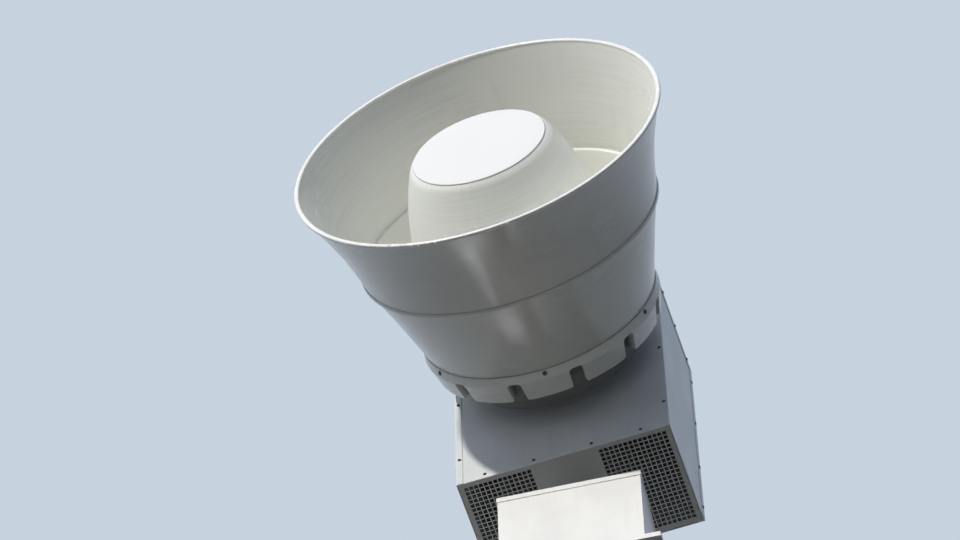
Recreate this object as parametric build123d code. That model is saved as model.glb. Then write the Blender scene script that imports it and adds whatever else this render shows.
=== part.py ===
from build123d import *
import math
import os

# Rotating outdoor warning siren head: an annular horn on a sheet-metal housing, carried on a
# pedestal by a rotator cabinet that bolts to the top of a pole.
# Frame: millimetres, +Z up, origin on the turning axis at the underside of the base plate,
# horn pointing to -Y at rest. "Ahead" is the distance in front of the housing's front edge.

# Base plate and rotator cabinet (fixed to the pole)
PLATE_WIDTH = 520
PLATE_THICKNESS = 22
PLATE_CORNER_RADIUS = 6
MOUNT_CIRCLE_DIAMETER = 300
MOUNT_HOLE_COUNT = 4
MOUNT_HOLE_RADIUS = 9
CABINET_WIDTH = 424
CABINET_DEPTH = 424
CABINET_HEIGHT = 350
CABINET_SHEET = 3
CABINET_FLANGE = 20
CABINET_BEND_RADIUS = 4
LID_LIP = 22
BASE_TURN = 5.5

# Bearing and pedestal between the cabinet and the housing
BEARING_FLANGE_RADIUS = 110
BEARING_FLANGE_THICKNESS = 12
BEARING_BOSS_RADIUS = 85
BEARING_HEIGHT = 40
PEDESTAL_RADIUS = 60
PEDESTAL_WALL = 8
PEDESTAL_GAP = 225
PEDESTAL_TAIL = 40
TURNTABLE_RADIUS = 100
TURNTABLE_THICKNESS = 14
TOP_FLANGE_RADIUS = 80
TOP_FLANGE_THICKNESS = 12
TOP_FLANGE_BORE = 45
SHAFT_CLEARANCE = 0.5
SEAT_GAP = 0.3
LID_HOLE_CLEARANCE = 6

# Housing of folded sheet panels
HOUSING_WIDTH = 660
HOUSING_DEPTH = 350
HOUSING_HEIGHT = 889
AXIS_BEHIND_FRONT = 185
SHEET = 2
BEND_RADIUS = 3
SIDE_RETURN = 21
COVER_LIP = 20
COVER_JOINT_GAP = 1
PANEL_CLEARANCE = 1.5
PAN_UPSTAND = 20
CUT_OVERRUN = 5

# Vents punched in the bottom panel
VENT_PITCH = 15
VENT_HOLE = 11.5
VENT_COLUMNS = 14
VENT_ROWS = 21
VENT_SIDE_MARGIN = 24
VENT_FRONT_MARGIN = 24

# Horn, all radii about its level axis
HORN_AXIS_HEIGHT = 559
THROAT_OPENING_RADIUS = 225
COLLAR_RADIUS = 255
COLLAR_LENGTH = 32
DRUM_REAR_RADIUS = 289
DRUM_TOP_RADIUS = 336
DRUM_THICKNESS = 45
SKIRT_ROOT = 5
SKIRT_EDGE = 89
SKIRT_EDGE_RADIUS = 356
SHOULDER_START = 150
SHOULDER_START_RADIUS = 372
SHOULDER = 158
SHOULDER_RADIUS = 374
SHOULDER_END = 166
SHOULDER_END_RADIUS = 373
RING_FRONT = 187
RING_FRONT_RADIUS = 370
POCKET_COUNT = 12
POCKET_WIDTH = 44
POCKET_TOP = 161
POCKET_CORNER = 12
POCKET_FLARE = 12
REAR_BELL_RADIUS = 366
REAR_BELL_WALL = 7
REAR_BELL_SAG = 2.5
REAR_BELL_RUNS = 4
REAR_BELL_END_WALL = 9
JOINT_LEDGE = 470
JOINT_LEDGE_WIDTH = 11
JOINT_LIP_TOP = 485
JOINT_LIP_WIDTH = 3
JOINT_LIP_SLOPE = 7.5
JOINT_LIP_HEIGHT = 11
JOINT_CLEARANCE = 0.3
FRONT_BELL_RADIUS = 466
FRONT_BELL_WALL = 5
FRONT_BELL_WAIST = 640
FRONT_BELL_WAIST_FLARE = 40.5
RIM_RADIUS = 571
RIM_WIDTH = 14
RIM_DEPTH = 12
RIM_ROUND = 5
RIM_FLATS = 2
MOUTH = 796

# Centre body of the horn
THROAT_PLATE_THICKNESS = 6
THROAT_PLATE_BORE = 240
BULLET_BASE_RADIUS = 292
BULLET_SHOULDER = 500
BULLET_WALL = 6
BULLET_MID = 645
BULLET_MID_RADIUS = 262
NOSE_EDGE = 742
NOSE_EDGE_RADIUS = 226
NOSE_ROUND = 756
NOSE_ROUND_RADIUS = 218
FACE_RADIUS = 206
FACE_RECESS = 25
FACE_THICKNESS = 4
FACE_CHAMFER = 2
FACE_SEAT_BORE = 95

LID_TOP = PLATE_THICKNESS + CABINET_HEIGHT
HOUSING_BOTTOM = LID_TOP + PEDESTAL_GAP
HOUSING_TOP = HOUSING_BOTTOM + HOUSING_HEIGHT
FRONT = -AXIS_BEHIND_FRONT
BACK = FRONT + HOUSING_DEPTH
HALF_WIDTH = HOUSING_WIDTH / 2
HORN_Z = HOUSING_BOTTOM + HORN_AXIS_HEIGHT
HORN_AXIS = Axis((0, FRONT, HORN_Z), (0, -1, 0))
THROAT_FLOOR = RING_FRONT + THROAT_PLATE_THICKNESS
PANEL_SET_BACK = SHEET


def block(low, high):
    """A box between two corners."""
    size = [b - a for a, b in zip(low, high)]
    centre = [(a + b) / 2 for a, b in zip(low, high)]
    return Pos(*centre) * Box(*size)


def upright_tube(radius, bore, bottom, top):
    """A tube about the turning axis."""
    height = top - bottom
    middle = (bottom + top) / 2
    return Pos(0, 0, middle) * (Cylinder(radius, height) - Cylinder(bore, height))


def at(radius, ahead):
    """A point of a horn outline: its radius, and its distance ahead of the housing's front."""
    return Vector(radius, FRONT - ahead, HORN_Z)


def turned(edges):
    """A solid turned about the horn's axis from the edges of a closed outline."""
    return revolve(make_face(edges), axis=HORN_AXIS)


def turned_polygon(points):
    """A solid turned about the horn's axis from straight runs between (radius, ahead) points."""
    return turned(Polyline([at(r, a) for r, a in points], close=True))


def folded_sheet(points, sheet, bend, bottom, top):
    """A folded sheet whose outer face follows the points in plan, with the sheet on its left."""
    line = FilletPolyline([(x, y, bottom) for x, y in points], radius=bend)
    return extrude(make_face(offset(line, sheet, side=Side.LEFT)), top - bottom, dir=(0, 0, 1))


# Base plate and cabinet

def base_plate():
    """The plate that bolts to the pole top, standing out past both sides of the cabinet."""
    outline = RectangleRounded(PLATE_WIDTH, CABINET_DEPTH, PLATE_CORNER_RADIUS)
    holes = PolarLocations(MOUNT_CIRCLE_DIAMETER / 2, MOUNT_HOLE_COUNT, 180 / MOUNT_HOLE_COUNT)
    return extrude(outline - holes * Circle(MOUNT_HOLE_RADIUS), PLATE_THICKNESS)


def cabinet_end(side):
    """The front cover (side -1) or the back wall (side 1), the full width of the cabinet."""
    half = CABINET_WIDTH / 2
    outer = side * CABINET_DEPTH / 2
    inner = outer - side * CABINET_SHEET
    low = (-half, min(outer, inner), PLATE_THICKNESS)
    high = (half, max(outer, inner), LID_TOP - CABINET_SHEET)
    return block(low, high)


def cabinet_side(side):
    """A side wall between the front cover and the back wall, with an inward flange at each."""
    outer = CABINET_WIDTH / 2
    end = CABINET_DEPTH / 2 - CABINET_SHEET
    inward = outer - CABINET_FLANGE
    points = [(inward, -end), (outer, -end), (outer, end), (inward, end)]
    wall = folded_sheet(points, CABINET_SHEET, CABINET_BEND_RADIUS, PLATE_THICKNESS, LID_TOP - CABINET_SHEET)
    return wall if side > 0 else mirror(wall, Plane.YZ)


def cabinet_lid():
    """The lid: a sheet with a lip turned down outside all four walls, and the pedestal's hole."""
    half_x = CABINET_WIDTH / 2
    half_y = CABINET_DEPTH / 2
    bottom = LID_TOP - LID_LIP
    outside = block(
        (-half_x - CABINET_SHEET, -half_y - CABINET_SHEET, bottom),
        (half_x + CABINET_SHEET, half_y + CABINET_SHEET, LID_TOP),
    )
    outside = fillet(outside.edges().filter_by(Axis.Z), CABINET_SHEET)
    inside = block((-half_x, -half_y, bottom), (half_x, half_y, LID_TOP - CABINET_SHEET))
    hole = Pos(0, 0, LID_TOP) * Cylinder(PEDESTAL_RADIUS + LID_HOLE_CLEARANCE, 2 * (CABINET_SHEET + CUT_OVERRUN))
    return outside - inside - hole


def bearing_housing():
    """The fixed bearing on the lid: a flange and a boss, bored for the pedestal."""
    bore = PEDESTAL_RADIUS + SHAFT_CLEARANCE
    flange_top = LID_TOP + BEARING_FLANGE_THICKNESS
    flange = upright_tube(BEARING_FLANGE_RADIUS, bore, LID_TOP, flange_top)
    return flange + upright_tube(BEARING_BOSS_RADIUS, bore, flange_top, LID_TOP + BEARING_HEIGHT)


# Pedestal

def turntable():
    """The ring on the pedestal that runs on top of the bearing."""
    bottom = LID_TOP + BEARING_HEIGHT + SEAT_GAP
    return upright_tube(TURNTABLE_RADIUS, PEDESTAL_RADIUS + SEAT_GAP, bottom, bottom + TURNTABLE_THICKNESS)


def pedestal_tube():
    """The tube that turns in the bearing and carries the housing."""
    top = HOUSING_BOTTOM - TOP_FLANGE_THICKNESS
    return upright_tube(PEDESTAL_RADIUS, PEDESTAL_RADIUS - PEDESTAL_WALL, LID_TOP - PEDESTAL_TAIL, top)


def pedestal_flange():
    """The flange at the pedestal's top, under the housing's plain middle strip."""
    bottom = HOUSING_BOTTOM - TOP_FLANGE_THICKNESS
    return upright_tube(TOP_FLANGE_RADIUS, TOP_FLANGE_BORE, bottom, HOUSING_BOTTOM)


# Housing

def side_panel(side):
    """A side of the housing, with a return at the front and one at the back."""
    inward = HALF_WIDTH - SIDE_RETURN
    points = [(inward, FRONT), (HALF_WIDTH, FRONT), (HALF_WIDTH, BACK), (inward, BACK)]
    panel = folded_sheet(points, SHEET, BEND_RADIUS, HOUSING_BOTTOM, HOUSING_TOP)
    return panel if side > 0 else mirror(panel, Plane.YZ)


def front_panel():
    """The front sheet, behind the side panels' returns, with the opening to the horn."""
    half = HALF_WIDTH - SHEET - PANEL_CLEARANCE
    face = FRONT + PANEL_SET_BACK
    sheet = block((-half, face, HOUSING_BOTTOM), (half, face + SHEET, HOUSING_TOP))
    opening = Pos(0, face, HORN_Z) * Rot(90, 0, 0) * Cylinder(THROAT_OPENING_RADIUS, 2 * (SHEET + CUT_OVERRUN))
    return sheet - opening


def vent_columns():
    """The centre of each vent column on the right side, from the middle strip outwards."""
    last = HALF_WIDTH - VENT_SIDE_MARGIN
    return [last - VENT_PITCH * (VENT_COLUMNS - 1 - i) for i in range(VENT_COLUMNS)]


def bottom_panel():
    """The bottom: a shallow pan with a vent at each side of a plain middle strip."""
    half = HALF_WIDTH - SHEET - PANEL_CLEARANCE
    near = FRONT + PANEL_SET_BACK + SHEET
    far = BACK - SHEET
    top = HOUSING_BOTTOM + PAN_UPSTAND
    outside = block((-half, near, HOUSING_BOTTOM), (half, far, top))
    inside = block(
        (-half + SHEET, near + SHEET, HOUSING_BOTTOM + SHEET),
        (half - SHEET, far - SHEET, top),
    )
    pan = outside - inside
    first = FRONT + VENT_FRONT_MARGIN - VENT_HOLE / 2
    length = VENT_PITCH * (VENT_ROWS - 1) + VENT_HOLE
    slots = [
        block(
            (side * x - VENT_HOLE / 2, first, HOUSING_BOTTOM - CUT_OVERRUN),
            (side * x + VENT_HOLE / 2, first + length, HOUSING_BOTTOM + SHEET + CUT_OVERRUN),
        )
        for side in (-1, 1)
        for x in vent_columns()
    ]
    return pan - slots


def top_cover():
    """The roof: a sheet with a lip turned down outside the panels on all four sides."""
    bottom = HOUSING_TOP - COVER_LIP
    outside = block(
        (-HALF_WIDTH - SHEET, FRONT - SHEET, bottom),
        (HALF_WIDTH + SHEET, BACK + 2 * SHEET, HOUSING_TOP + SHEET),
    )
    outside = fillet(outside.edges().filter_by(Axis.Z), SHEET)
    inside = block((-HALF_WIDTH, FRONT, bottom), (HALF_WIDTH, BACK + SHEET, HOUSING_TOP))
    return outside - inside


def back_cover():
    """The back: a sheet with a lip turned forward outside each side panel."""
    lip_top = HOUSING_TOP - COVER_LIP - COVER_JOINT_GAP
    sheet = block((-HALF_WIDTH, BACK, HOUSING_BOTTOM), (HALF_WIDTH, BACK + SHEET, HOUSING_TOP))
    for side in (-1, 1):
        edges = sorted((side * HALF_WIDTH, side * (HALF_WIDTH + SHEET)))
        low = (edges[0], BACK - COVER_LIP, HOUSING_BOTTOM)
        sheet += block(low, (edges[1], BACK + SHEET, lip_top))
    return sheet


# Horn

def collar():
    """The short ring between the front panel and the horn."""
    return turned_polygon([
        (THROAT_OPENING_RADIUS, -PANEL_SET_BACK),
        (COLLAR_RADIUS, -PANEL_SET_BACK),
        (COLLAR_RADIUS, COLLAR_LENGTH),
        (THROAT_OPENING_RADIUS, COLLAR_LENGTH),
    ])


def drum_radius(ahead):
    """The radius of the base ring's conical drum, which is also the floor of its pockets."""
    share = (ahead - COLLAR_LENGTH) / (POCKET_TOP - COLLAR_LENGTH)
    return DRUM_REAR_RADIUS + share * (DRUM_TOP_RADIUS - DRUM_REAR_RADIUS)


def pocket_outline():
    """A pocket seen from outside: round at the top corners, flared at its open rear end."""
    half = POCKET_WIDTH / 2
    rear = SKIRT_EDGE
    bend = POCKET_FLARE * (1 - math.sqrt(0.5))
    turn = POCKET_CORNER * (1 - math.sqrt(0.5))
    right = [
        Line((0, POCKET_TOP), (half - POCKET_CORNER, POCKET_TOP)),
        ThreePointArc(
            (half - POCKET_CORNER, POCKET_TOP),
            (half - turn, POCKET_TOP - turn),
            (half, POCKET_TOP - POCKET_CORNER),
        ),
        Line((half, POCKET_TOP - POCKET_CORNER), (half, rear + POCKET_FLARE)),
        ThreePointArc(
            (half, rear + POCKET_FLARE),
            (half + bend, rear + bend),
            (half + POCKET_FLARE, rear),
        ),
        Line((half + POCKET_FLARE, rear), (half + POCKET_FLARE, rear - POCKET_FLARE)),
        Line((half + POCKET_FLARE, rear - POCKET_FLARE), (0, rear - POCKET_FLARE)),
    ]
    left = [mirror(edge, Plane.YZ) for edge in right]
    return make_face(right + left)


def skirt():
    """The ring's outer skirt, from its lower edge over the shoulder to the front, before the pockets."""
    rear_root = drum_radius(SKIRT_EDGE) - SKIRT_ROOT
    front_root = drum_radius(RING_FRONT) - SKIRT_ROOT
    return turned([
        Line(at(rear_root, SKIRT_EDGE), at(SKIRT_EDGE_RADIUS, SKIRT_EDGE)),
        Line(at(SKIRT_EDGE_RADIUS, SKIRT_EDGE), at(SHOULDER_START_RADIUS, SHOULDER_START)),
        ThreePointArc(
            at(SHOULDER_START_RADIUS, SHOULDER_START),
            at(SHOULDER_RADIUS, SHOULDER),
            at(SHOULDER_END_RADIUS, SHOULDER_END),
        ),
        Line(at(SHOULDER_END_RADIUS, SHOULDER_END), at(RING_FRONT_RADIUS, RING_FRONT)),
        Line(at(RING_FRONT_RADIUS, RING_FRONT), at(front_root, RING_FRONT)),
        Line(at(front_root, RING_FRONT), at(rear_root, SKIRT_EDGE)),
    ])


def base_ring():
    """The moulded ring behind the horn: a drum, and a skirt with pockets open to the rear."""
    front_radius = drum_radius(RING_FRONT)
    drum = turned_polygon([
        (DRUM_REAR_RADIUS - DRUM_THICKNESS, COLLAR_LENGTH),
        (DRUM_REAR_RADIUS, COLLAR_LENGTH),
        (front_radius, RING_FRONT),
        (front_radius - DRUM_THICKNESS, RING_FRONT),
    ])
    teeth = skirt()
    for i in range(POCKET_COUNT):
        angle = (i + 0.5) * 360 / POCKET_COUNT
        outward = Vector(1, 0, 0).rotate(Axis.Y, -angle)
        across = Vector(0, -1, 0).cross(outward)
        pocket = Plane(origin=(0, FRONT, HORN_Z), x_dir=across, z_dir=outward) * pocket_outline()
        teeth -= extrude(pocket, SHOULDER_RADIUS + CUT_OVERRUN)
    return drum + teeth


def sagging(start, end):
    """Points between two (radius, ahead) points, on a parabola that is set in towards the axis."""
    points = []
    for i in range(REAR_BELL_RUNS + 1):
        share = i / REAR_BELL_RUNS
        inset = 4 * REAR_BELL_SAG * share * (1 - share)
        radius = start[0] + share * (end[0] - start[0]) - inset
        points.append((radius, start[1] + share * (end[1] - start[1])))
    return points


def rear_bell():
    """The rear half of the horn, with a ledge and a raised lip that hold the front half."""
    lip_inner = FRONT_BELL_RADIUS + JOINT_CLEARANCE
    lip_outer = FRONT_BELL_RADIUS + JOINT_LIP_WIDTH
    lip_foot = JOINT_LIP_TOP - JOINT_LIP_HEIGHT
    ledge_inner = FRONT_BELL_RADIUS - FRONT_BELL_WALL - JOINT_LEDGE_WIDTH
    outside_end = (ledge_inner + REAR_BELL_END_WALL, lip_foot - JOINT_LIP_SLOPE)
    outside = sagging((REAR_BELL_RADIUS, RING_FRONT), outside_end)
    lip = [
        (lip_outer, lip_foot),
        (lip_outer, JOINT_LIP_TOP),
        (lip_inner, JOINT_LIP_TOP),
        (lip_inner, JOINT_LEDGE),
    ]
    inside = sagging((ledge_inner, JOINT_LEDGE), (REAR_BELL_RADIUS - REAR_BELL_WALL, RING_FRONT))
    return turned_polygon(outside + lip + inside)


def front_bell():
    """The flared front half of the horn, whose straight rear end stands on the ledge."""
    end = MOUTH - RIM_DEPTH
    end_radius = RIM_RADIUS - RIM_ROUND
    waist_radius = FRONT_BELL_RADIUS + FRONT_BELL_WAIST_FLARE
    outer = ThreePointArc(
        at(FRONT_BELL_RADIUS, JOINT_LIP_TOP),
        at(waist_radius, FRONT_BELL_WAIST),
        at(end_radius, end),
    )
    wall = FRONT_BELL_WALL
    inner = ThreePointArc(
        at(FRONT_BELL_RADIUS - wall, JOINT_LIP_TOP),
        at(waist_radius - wall, FRONT_BELL_WAIST),
        at(end_radius - wall, end),
    )
    tail = Polyline([
        inner @ 0,
        at(FRONT_BELL_RADIUS - wall, JOINT_LEDGE),
        at(FRONT_BELL_RADIUS, JOINT_LEDGE),
        outer @ 0,
    ])
    return turned([outer, inner, *tail.edges(), Line(inner @ 1, outer @ 1)])


def mouth_rim():
    """The bead round the mouth, with each corner rounded by short flats on a quarter circle."""
    near, far = RIM_RADIUS - RIM_WIDTH + RIM_ROUND, RIM_RADIUS - RIM_ROUND
    back, front = MOUTH - RIM_DEPTH + RIM_ROUND, MOUTH - RIM_ROUND
    points = []
    for quarter, (radius, ahead) in enumerate([(far, front), (near, front), (near, back), (far, back)]):
        for step in range(RIM_FLATS + 1):
            angle = math.radians(90 * (quarter + step / RIM_FLATS))
            points.append((radius + RIM_ROUND * math.cos(angle), ahead + RIM_ROUND * math.sin(angle)))
    return turned_polygon(points)


def throat_plate():
    """The floor of the horn's annular throat, which carries the centre body."""
    outer = REAR_BELL_RADIUS - REAR_BELL_WALL - JOINT_CLEARANCE
    return turned_polygon([
        (THROAT_PLATE_BORE, RING_FRONT),
        (outer, RING_FRONT),
        (outer, THROAT_FLOOR),
        (THROAT_PLATE_BORE, THROAT_FLOOR),
    ])


def bullet_line(depth):
    """The centre body's line set in by a depth: a straight skirt, a long curve, a rounded nose."""
    base = BULLET_BASE_RADIUS - depth
    front = MOUTH - FACE_RECESS - FACE_THICKNESS - depth
    skirt = Line(at(base, THROAT_FLOOR), at(base, BULLET_SHOULDER))
    curve = ThreePointArc(
        at(base, BULLET_SHOULDER),
        at(BULLET_MID_RADIUS - depth, BULLET_MID),
        at(NOSE_EDGE_RADIUS - depth, NOSE_EDGE - depth),
    )
    nose = ThreePointArc(
        curve @ 1,
        at(NOSE_ROUND_RADIUS - depth, NOSE_ROUND - depth),
        at(FACE_RADIUS - depth, front),
    )
    return skirt, curve, nose


def bullet_body():
    """The hollow centre body, closed in front but for the seat of the face."""
    front = MOUTH - FACE_RECESS - FACE_THICKNESS
    outer = bullet_line(0)
    inner = bullet_line(BULLET_WALL)
    seat = Polyline([
        outer[-1] @ 1,
        at(FACE_SEAT_BORE, front),
        at(FACE_SEAT_BORE, front - BULLET_WALL),
        inner[-1] @ 1,
    ])
    return turned([*outer, *seat.edges(), *inner, Line(inner[0] @ 0, outer[0] @ 0)])


def bullet_face():
    """The round plate on the centre body's flat front."""
    front = MOUTH - FACE_RECESS
    disc = turned_polygon([
        (0, front - FACE_THICKNESS),
        (FACE_RADIUS, front - FACE_THICKNESS),
        (FACE_RADIUS, front),
        (0, front),
    ])
    rim = disc.edges().filter_by(GeomType.CIRCLE).sort_by(Axis.Y)[0]
    return chamfer(rim, FACE_CHAMFER)


FIXED = {
    "base_plate": base_plate(),
    "cabinet_front_cover": cabinet_end(-1),
    "cabinet_back_wall": cabinet_end(1),
    "cabinet_left_wall": cabinet_side(-1),
    "cabinet_right_wall": cabinet_side(1),
    "cabinet_lid": cabinet_lid(),
    "bearing_housing": bearing_housing(),
}
TURNING = {
    "turntable": turntable(),
    "pedestal_tube": pedestal_tube(),
    "pedestal_flange": pedestal_flange(),
    "bottom_panel": bottom_panel(),
    "front_panel": front_panel(),
    "left_side_panel": side_panel(-1),
    "right_side_panel": side_panel(1),
    "top_cover": top_cover(),
    "back_cover": back_cover(),
    "collar": collar(),
    "base_ring": base_ring(),
    "throat_plate": throat_plate(),
    "rear_bell": rear_bell(),
    "front_bell": front_bell(),
    "mouth_rim": mouth_rim(),
    "bullet_body": bullet_body(),
    "bullet_face": bullet_face(),
}

os.makedirs("parts", exist_ok=True)
for name, solid in FIXED.items():
    export_step(Rot(0, 0, BASE_TURN) * solid, f"parts/{name}.step")
for name, solid in TURNING.items():
    export_step(solid, f"parts/{name}.step")
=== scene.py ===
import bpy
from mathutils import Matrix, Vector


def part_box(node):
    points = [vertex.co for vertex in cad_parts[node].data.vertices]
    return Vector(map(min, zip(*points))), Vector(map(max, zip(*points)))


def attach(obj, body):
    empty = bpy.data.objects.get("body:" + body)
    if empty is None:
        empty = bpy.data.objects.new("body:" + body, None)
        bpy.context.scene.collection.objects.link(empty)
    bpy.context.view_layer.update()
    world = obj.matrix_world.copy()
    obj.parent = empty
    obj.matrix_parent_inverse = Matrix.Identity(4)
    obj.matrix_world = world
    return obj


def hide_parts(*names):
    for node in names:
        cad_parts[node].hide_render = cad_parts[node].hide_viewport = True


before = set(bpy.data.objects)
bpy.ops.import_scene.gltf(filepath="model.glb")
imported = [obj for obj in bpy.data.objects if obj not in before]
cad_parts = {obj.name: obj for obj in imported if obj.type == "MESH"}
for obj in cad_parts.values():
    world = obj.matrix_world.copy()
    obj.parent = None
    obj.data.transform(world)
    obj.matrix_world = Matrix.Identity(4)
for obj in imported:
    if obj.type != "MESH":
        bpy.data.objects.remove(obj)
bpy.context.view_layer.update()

from types import SimpleNamespace

import bmesh
import bpy
import numpy as np
from mathutils import Matrix, Vector

bl_info = {
    "name": "Warning siren head",
    "version": (1, 0, 0),
    "blender": (4, 5, 0),
    "location": "3D View > Sidebar > Siren",
    "description": "Dresses a rotating outdoor warning siren head round its solid model",
    "category": "Object",
}

# All lengths are metres. "Ahead" is the distance in front of the housing's front edge, along the
# horn's level axis, and an angle round that axis counts from the right towards the top.
HEAD = "head"
BASE = "rotator_base"
SIDE_LOW, SIDE_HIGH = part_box("right_side_panel")
RIM_LOW, RIM_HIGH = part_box("mouth_rim")
PLATE_LOW, PLATE_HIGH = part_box("base_plate")
FRONT = SIDE_LOW.y
BACK = SIDE_HIGH.y
HALF_WIDTH = SIDE_HIGH.x
HOUSING_BOTTOM = SIDE_LOW.z
HOUSING_TOP = SIDE_HIGH.z
HORN_Z = round((RIM_LOW.z + RIM_HIGH.z) / 2, 4)
MOUTH = round(FRONT - RIM_LOW.y, 4)
RIM_RADIUS = round(RIM_HIGH.x, 4)

# Horn sections as (radius, ahead), the same as the solids'
BELL_JOINT = (0.466, 0.485)
BELL_WAIST = (0.5065, 0.640)
BELL_END = (RIM_RADIUS - 0.005, MOUTH - 0.012)
BELL_WALL = 0.005
LEDGE_AHEAD = 0.470
LEDGE_WIDTH = 0.011
RIM_WIDTH = 0.014
RIM_DEPTH = 0.012
RIM_ROUND = 0.005
REAR_BELL_START = (0.366, 0.187)
REAR_BELL_END = (0.459, 0.4665)
REAR_BELL_LIP = [(0.469, 0.474), (0.469, 0.485), (0.4663, 0.485), (0.4663, LEDGE_AHEAD)]
REAR_BELL_INSIDE = (0.359, 0.187)
REAR_BELL_SAG = 0.0025
EDGE_ROUND = 0.0015
SKIRT_RADIUS = 0.292
SKIRT_BACK = 0.193
SHOULDER_AHEAD = 0.500
NOSE_MIDDLE = (0.262, 0.645)
NOSE_EDGE = (0.226, 0.742)
NOSE_ROUND = (0.218, 0.756)
NOSE_END = (0.206, 0.767)
BODY_WALL = 0.006
SEAT_BORE = 0.095
FACE_RADIUS = 0.206
FACE_FRONT = 0.771

# Base ring: a conical drum, and a skirt outside it whose pockets are open to the rear
RING_BACK = 0.032
RING_FRONT = 0.187
DRUM_REAR_RADIUS = 0.289
DRUM_SLOPE = (0.336 - DRUM_REAR_RADIUS) / (0.161 - RING_BACK)
DRUM_THICKNESS = 0.045
SKIRT_EDGE = (0.356, 0.089)
SKIRT_EDGE_ROUND = 0.005
RING_SHOULDER = [(0.372, 0.150), (0.374, 0.158), (0.373, 0.166)]
RING_FRONT_RADIUS = 0.370
POCKET_COUNT = 12
POCKET_TOP = 0.161
POCKET_HALF = 0.022
POCKET_CORNER = 0.012
POCKET_FLARE = 0.012
POCKET_DRAFT = 0.002

ROUND_STEPS = 288
SHARP_ANGLE = np.radians(32)
MERGE_DISTANCE = 2e-6

# The sheet metal of the housing and the cabinet
SHEET = 0.002
CABINET_TURN = np.radians(5.5)
CABINET_WALL = 0.212
CABINET_LIP = 0.215

# Name of the attribute that darkens the bells' outside: weathering and painted shade.
WEATHERING_AND_SHADE = "weathering_and_shade"
HORN_GELCOAT = "horn_gelcoat_brushed"
BODY_GELCOAT = "body_gelcoat_brushed"
RESIN_IOR = 1.5
SHADE_BEAD_IOR = 1.45
ORANGE_PEEL = 0.0022


def linear(hex_colour):
    """Linear light values of an sRGB hex colour: each channel is raised by the sRGB curve."""
    channels = np.array([int(hex_colour[i:i + 2], 16) / 255 for i in (0, 2, 4)])
    low = channels / 12.92
    high = ((channels + 0.055) / 1.055) ** 2.4
    return tuple(float(c) for c in np.where(channels <= 0.04045, low, high))


def label(name):
    """What the panel shows for a setting."""
    return name.replace("_", " ").capitalize()


def colour_property(name, description, hex_colour):
    """A colour that a user can change."""
    return bpy.props.FloatVectorProperty(
        name=label(name), description=description, subtype="COLOR", size=3, min=0.0, max=1.0,
        default=linear(hex_colour),
    )


def length_property(name, description, default):
    """A length that a user can change."""
    return bpy.props.FloatProperty(
        name=label(name), description=description, default=default, min=0.0, unit="LENGTH",
        precision=4,
    )


class SirenColours(bpy.types.PropertyGroup):
    """Colours of the finishes, as they are under white light."""

    __annotations__ = {row[0]: colour_property(*row) for row in (
        ("horn", "Gelcoat of the bells and the base ring", "EFF0E9"),
        ("rim", "Gelcoat of the rolled bead round the mouth", "F8F8F5"),
        ("body", "Gelcoat of the centre body in the horn", "F0F1EB"),
        ("face", "Gloss paint of the round face plate", "F2F2F1"),
        ("housing", "Powder coat of the housing's panels", "E0E3E5"),
        # Painted shade: the vented bottom's colour is darker and warmer than the housing's panels.
        ("underside", "Powder coat of the vented bottom", "B0B0AA"),
        ("cabinet", "Powder coat of the rotator cabinet", "F6F6F3"),
        ("pedestal", "Paint of the pedestal and turntable", "9A9C9A"),
        ("bearing", "Paint of the cast bearing housing", "6F7271"),
        # The bead round the face plate is grey as painted shade: it draws the shade line at the
        # plate's edge.
        ("grime", "Dust and soot that rain leaves behind", "5C564A"),
        ("seal", "Sealant round the face plate", "B4B6B6"),
    )}


class SirenSizes(bpy.types.PropertyGroup):
    """Sizes of the details that the solids leave out."""

    __annotations__ = {row[0]: length_property(*row) for row in (
        ("vent_pitch", "Between the middles of two punched holes", 0.015),
        ("vent_hole", "Side of one square hole", 0.0115),
        ("screw_radius", "Heads of the panels' pan-head screws", 0.0055),
        ("screw_height", "Heads of the panels' pan-head screws", 0.0032),
        ("bolt_radius", "Heads of the base ring's hexagon bolts", 0.0055),
        ("bolt_height", "Heads of the base ring's hexagon bolts", 0.0035),
        ("hand_wave", "How far the moulded bells are from round", 0.0005),
        ("streak_pitch", "Between brush marks in the gelcoat", 0.007),
    )}


# Shapes

def horn_place(radius, ahead, angle):
    """Points round the horn's axis: x is the radius times the cosine, z adds the sine's share."""
    radius, ahead, angle = np.broadcast_arrays(radius, ahead, angle)
    across = radius * np.cos(angle)
    up = HORN_Z + radius * np.sin(angle)
    return np.stack([across, FRONT - ahead, up], axis=-1)


def woven(rows, columns, close_rows=False):
    """Quads of a grid of points whose columns join end to end, and whose rows do so if asked."""
    row = np.arange(rows if close_rows else rows - 1)[:, None]
    column = np.arange(columns)[None, :]
    next_row = (row + 1) % rows
    next_column = (column + 1) % columns
    corners = (
        row * columns + column, next_row * columns + column,
        next_row * columns + next_column, row * columns + next_column,
    )
    return np.stack(np.broadcast_arrays(*corners), axis=-1).reshape(-1, 4)


def arc_through(start, middle, end, count):
    """Even points on the circle through three points, worked out as complex numbers: the centre
    is where the ratio of the two chords puts it, and the points turn about it."""
    start, middle, end = (complex(*place) for place in (start, middle, end))
    ratio = (end - start) / (middle - start)
    centre = start + (middle - start) * (ratio - abs(ratio) ** 2) / (ratio - ratio.conjugate())
    turn = np.angle((end - centre) / (start - centre))
    points = centre + (start - centre) * np.exp(1j * np.linspace(0, turn, count))
    return np.stack([points.real, points.imag], axis=-1)


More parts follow.
